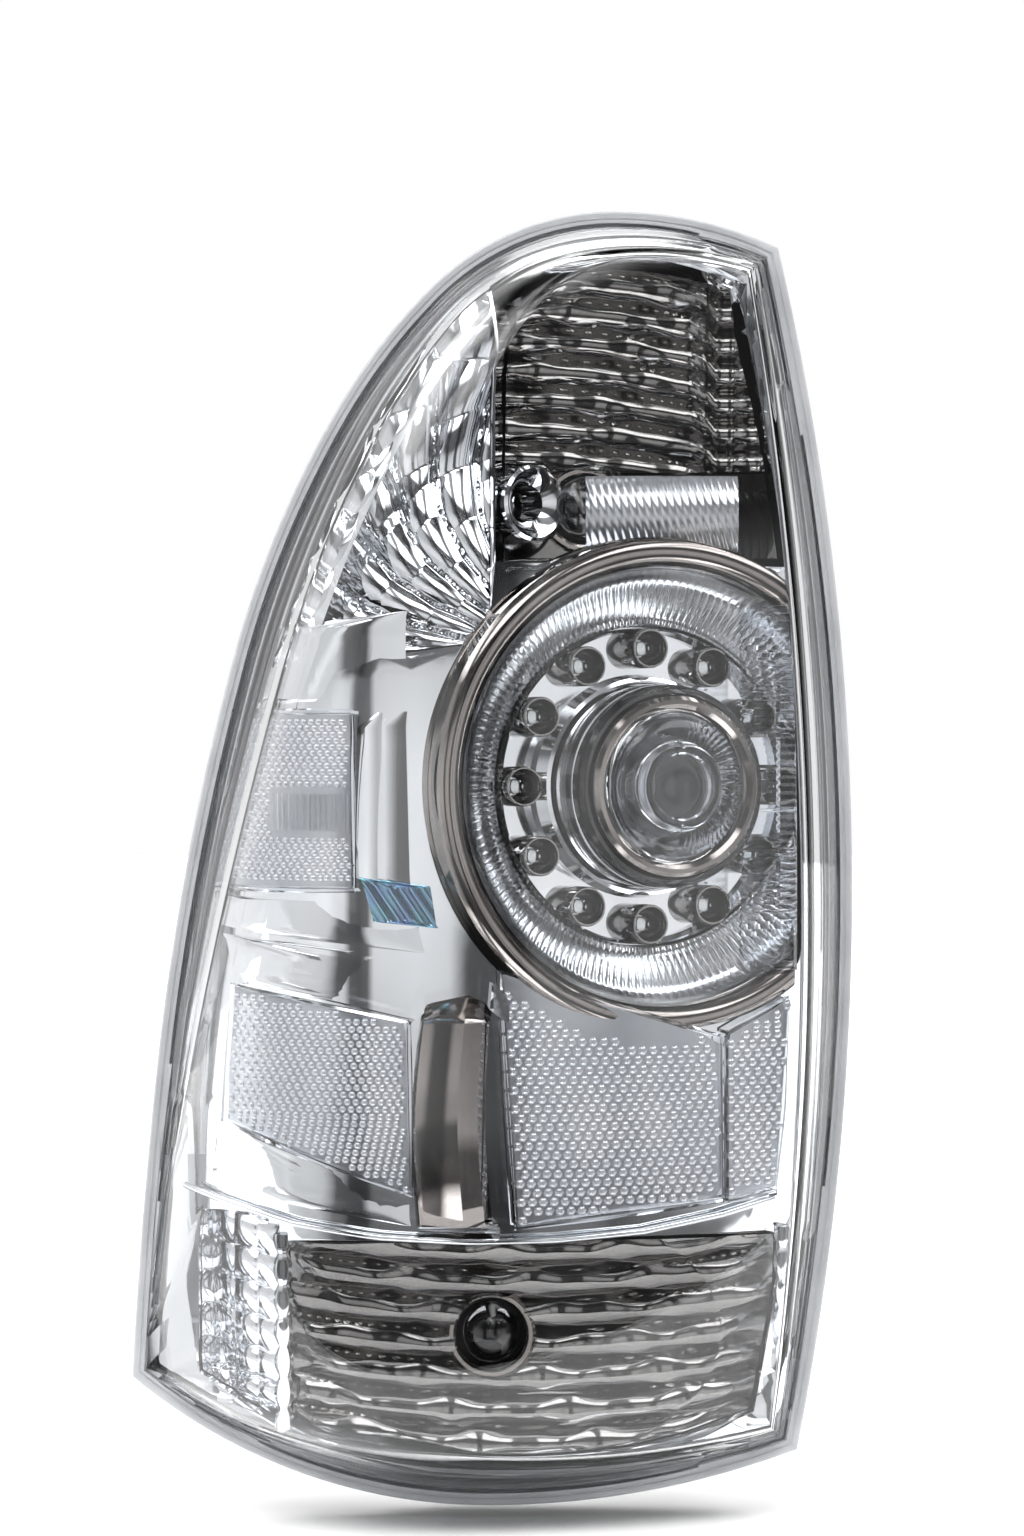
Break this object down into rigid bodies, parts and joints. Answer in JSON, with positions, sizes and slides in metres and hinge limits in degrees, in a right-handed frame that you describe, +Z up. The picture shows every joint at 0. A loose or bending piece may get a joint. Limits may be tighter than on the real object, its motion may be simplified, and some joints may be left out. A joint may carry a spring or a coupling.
{
  "type": "car headlight assembly",
  "caption": "Tall wrap-around vehicle lamp: clear outer lens over chromed fluted reflectors, a round ringed LED unit, prism panels and bulbs in twist-lock holders.",
  "frame": {"origin": "middle of the four mounting studs, on the mounting face", "axes": "+X to the right seen from the front, +Y towards the back along the studs, +Z up"},
  "size_m": [0.239, 0.136, 0.4295],
  "materials": {
    "clear_lens": "polished clear acrylic",
    "sealant": "matt butyl",
    "housing": "moulded black",
    "bezel": "vacuum metallised",
    "reflector": "vacuum metallised",
    "smoked_chrome": "dark metallised",
    "clear_prism": "clear moulded prisms",
    "board": "white solder mask",
    "led": "clear epoxy",
    "chip": "ceramic",
    "bulb_glass": "clear",
    "bulb_base": "moulded",
    "filament": "drawn wire",
    "holder": "moulded grey",
    "seal": "silicone",
    "contact": "tinned",
    "steel": "zinc plated",
    "loom": "insulated wire",
    "connector": "moulded"
  },
  "bodies": {
    "lamp": {"outer_lens": "clear_lens", "lens_seal": "sealant", "rear_housing": "housing", "mounting_studs": "steel", "vent_caps": "seal", "inner_bezel": "bezel", "side_reflex_panel": "clear_prism", "side_window_lens": "clear_lens", "lower_side_reflex_panel": "clear_prism", "lower_reflex_panel": "clear_prism", "chrome_strap": "bezel", "upper_reflector": "smoked_chrome", "upper_side_reflector": "reflector", "lower_reflector": "smoked_chrome", "lower_side_reflector": "reflector", "side_reflector": "reflector", "chrome_ring": "smoked_chrome", "fluted_dish": "clear_prism", "ring_carrier": "housing", "led_board": "board", "led_cup_plate": "reflector", "led_emitters": "led", "board_resistors": "chip", "centre_sleeve": "clear_lens", "centre_ring": "smoked_chrome", "centre_lens": "clear_lens", "centre_reflector": "reflector", "led_connector": "connector", "connector_blades": "contact", "led_loom": "loom", "carrier_screws": "steel", "bezel_screws": "steel"},
    "upper_holder_unit": {"upper_holder": "holder", "upper_holder_blades": "contact", "upper_holder_seal": "seal"},
    "upper_bulb": {"upper_bulb_base": "bulb_base", "upper_bulb_glass": "bulb_glass", "upper_bulb_filament": "filament"},
    "centre_holder_unit": {"centre_holder": "holder", "centre_holder_blades": "contact", "centre_holder_seal": "seal"},
    "centre_bulb": {"centre_bulb_base": "bulb_base", "centre_bulb_glass": "bulb_glass", "centre_bulb_filament": "filament"},
    "lower_holder_unit": {"lower_holder": "holder", "lower_holder_blades": "contact", "lower_holder_seal": "seal"},
    "lower_bulb": {"lower_bulb_base": "bulb_base", "lower_bulb_glass": "bulb_glass", "lower_bulb_filament": "filament"},
    "side_holder_unit": {"side_holder": "holder", "side_holder_blades": "contact", "side_holder_seal": "seal"},
    "side_bulb": {"side_bulb_base": "bulb_base", "side_bulb_glass": "bulb_glass", "side_bulb_filament": "filament"}
  },
  "joints": [
    {"name": "upper_holder_twist", "type": "hinge", "parent": "lamp", "child": "upper_holder_unit", "pos_m": [0, -0.001, 0.112], "axis": [0, 1, 0], "range_deg": [0, 45]},
    {"name": "upper_bulb_pull", "type": "slide", "parent": "upper_holder_unit", "child": "upper_bulb", "axis": [0, -1, 0], "range_m": [0, 0.012]},
    {"name": "centre_holder_twist", "type": "hinge", "parent": "lamp", "child": "centre_holder_unit", "pos_m": [-0.00367, -0.00871, 0.02], "axis": [-0.4067, 0.9135, 0], "range_deg": [0, 45]},
    {"name": "centre_bulb_pull", "type": "slide", "parent": "centre_holder_unit", "child": "centre_bulb", "axis": [0.4067, -0.9135, 0], "range_m": [0, 0.012]},
    {"name": "lower_holder_twist", "type": "hinge", "parent": "lamp", "child": "lower_holder_unit", "pos_m": [-0.031, -0.001, -0.16], "axis": [0, 1, 0], "range_deg": [0, 45]},
    {"name": "lower_bulb_pull", "type": "slide", "parent": "lower_holder_unit", "child": "lower_bulb", "axis": [0, -1, 0], "range_m": [0, 0.012]},
    {"name": "side_holder_twist", "type": "hinge", "parent": "lamp", "child": "side_holder_unit", "pos_m": [-0.088, -0.018, 0.012], "axis": [0, 1, 0], "range_deg": [0, 45]},
    {"name": "side_bulb_pull", "type": "slide", "parent": "side_holder_unit", "child": "side_bulb", "axis": [0, -1, 0], "range_m": [0, 0.012]}
  ]
}
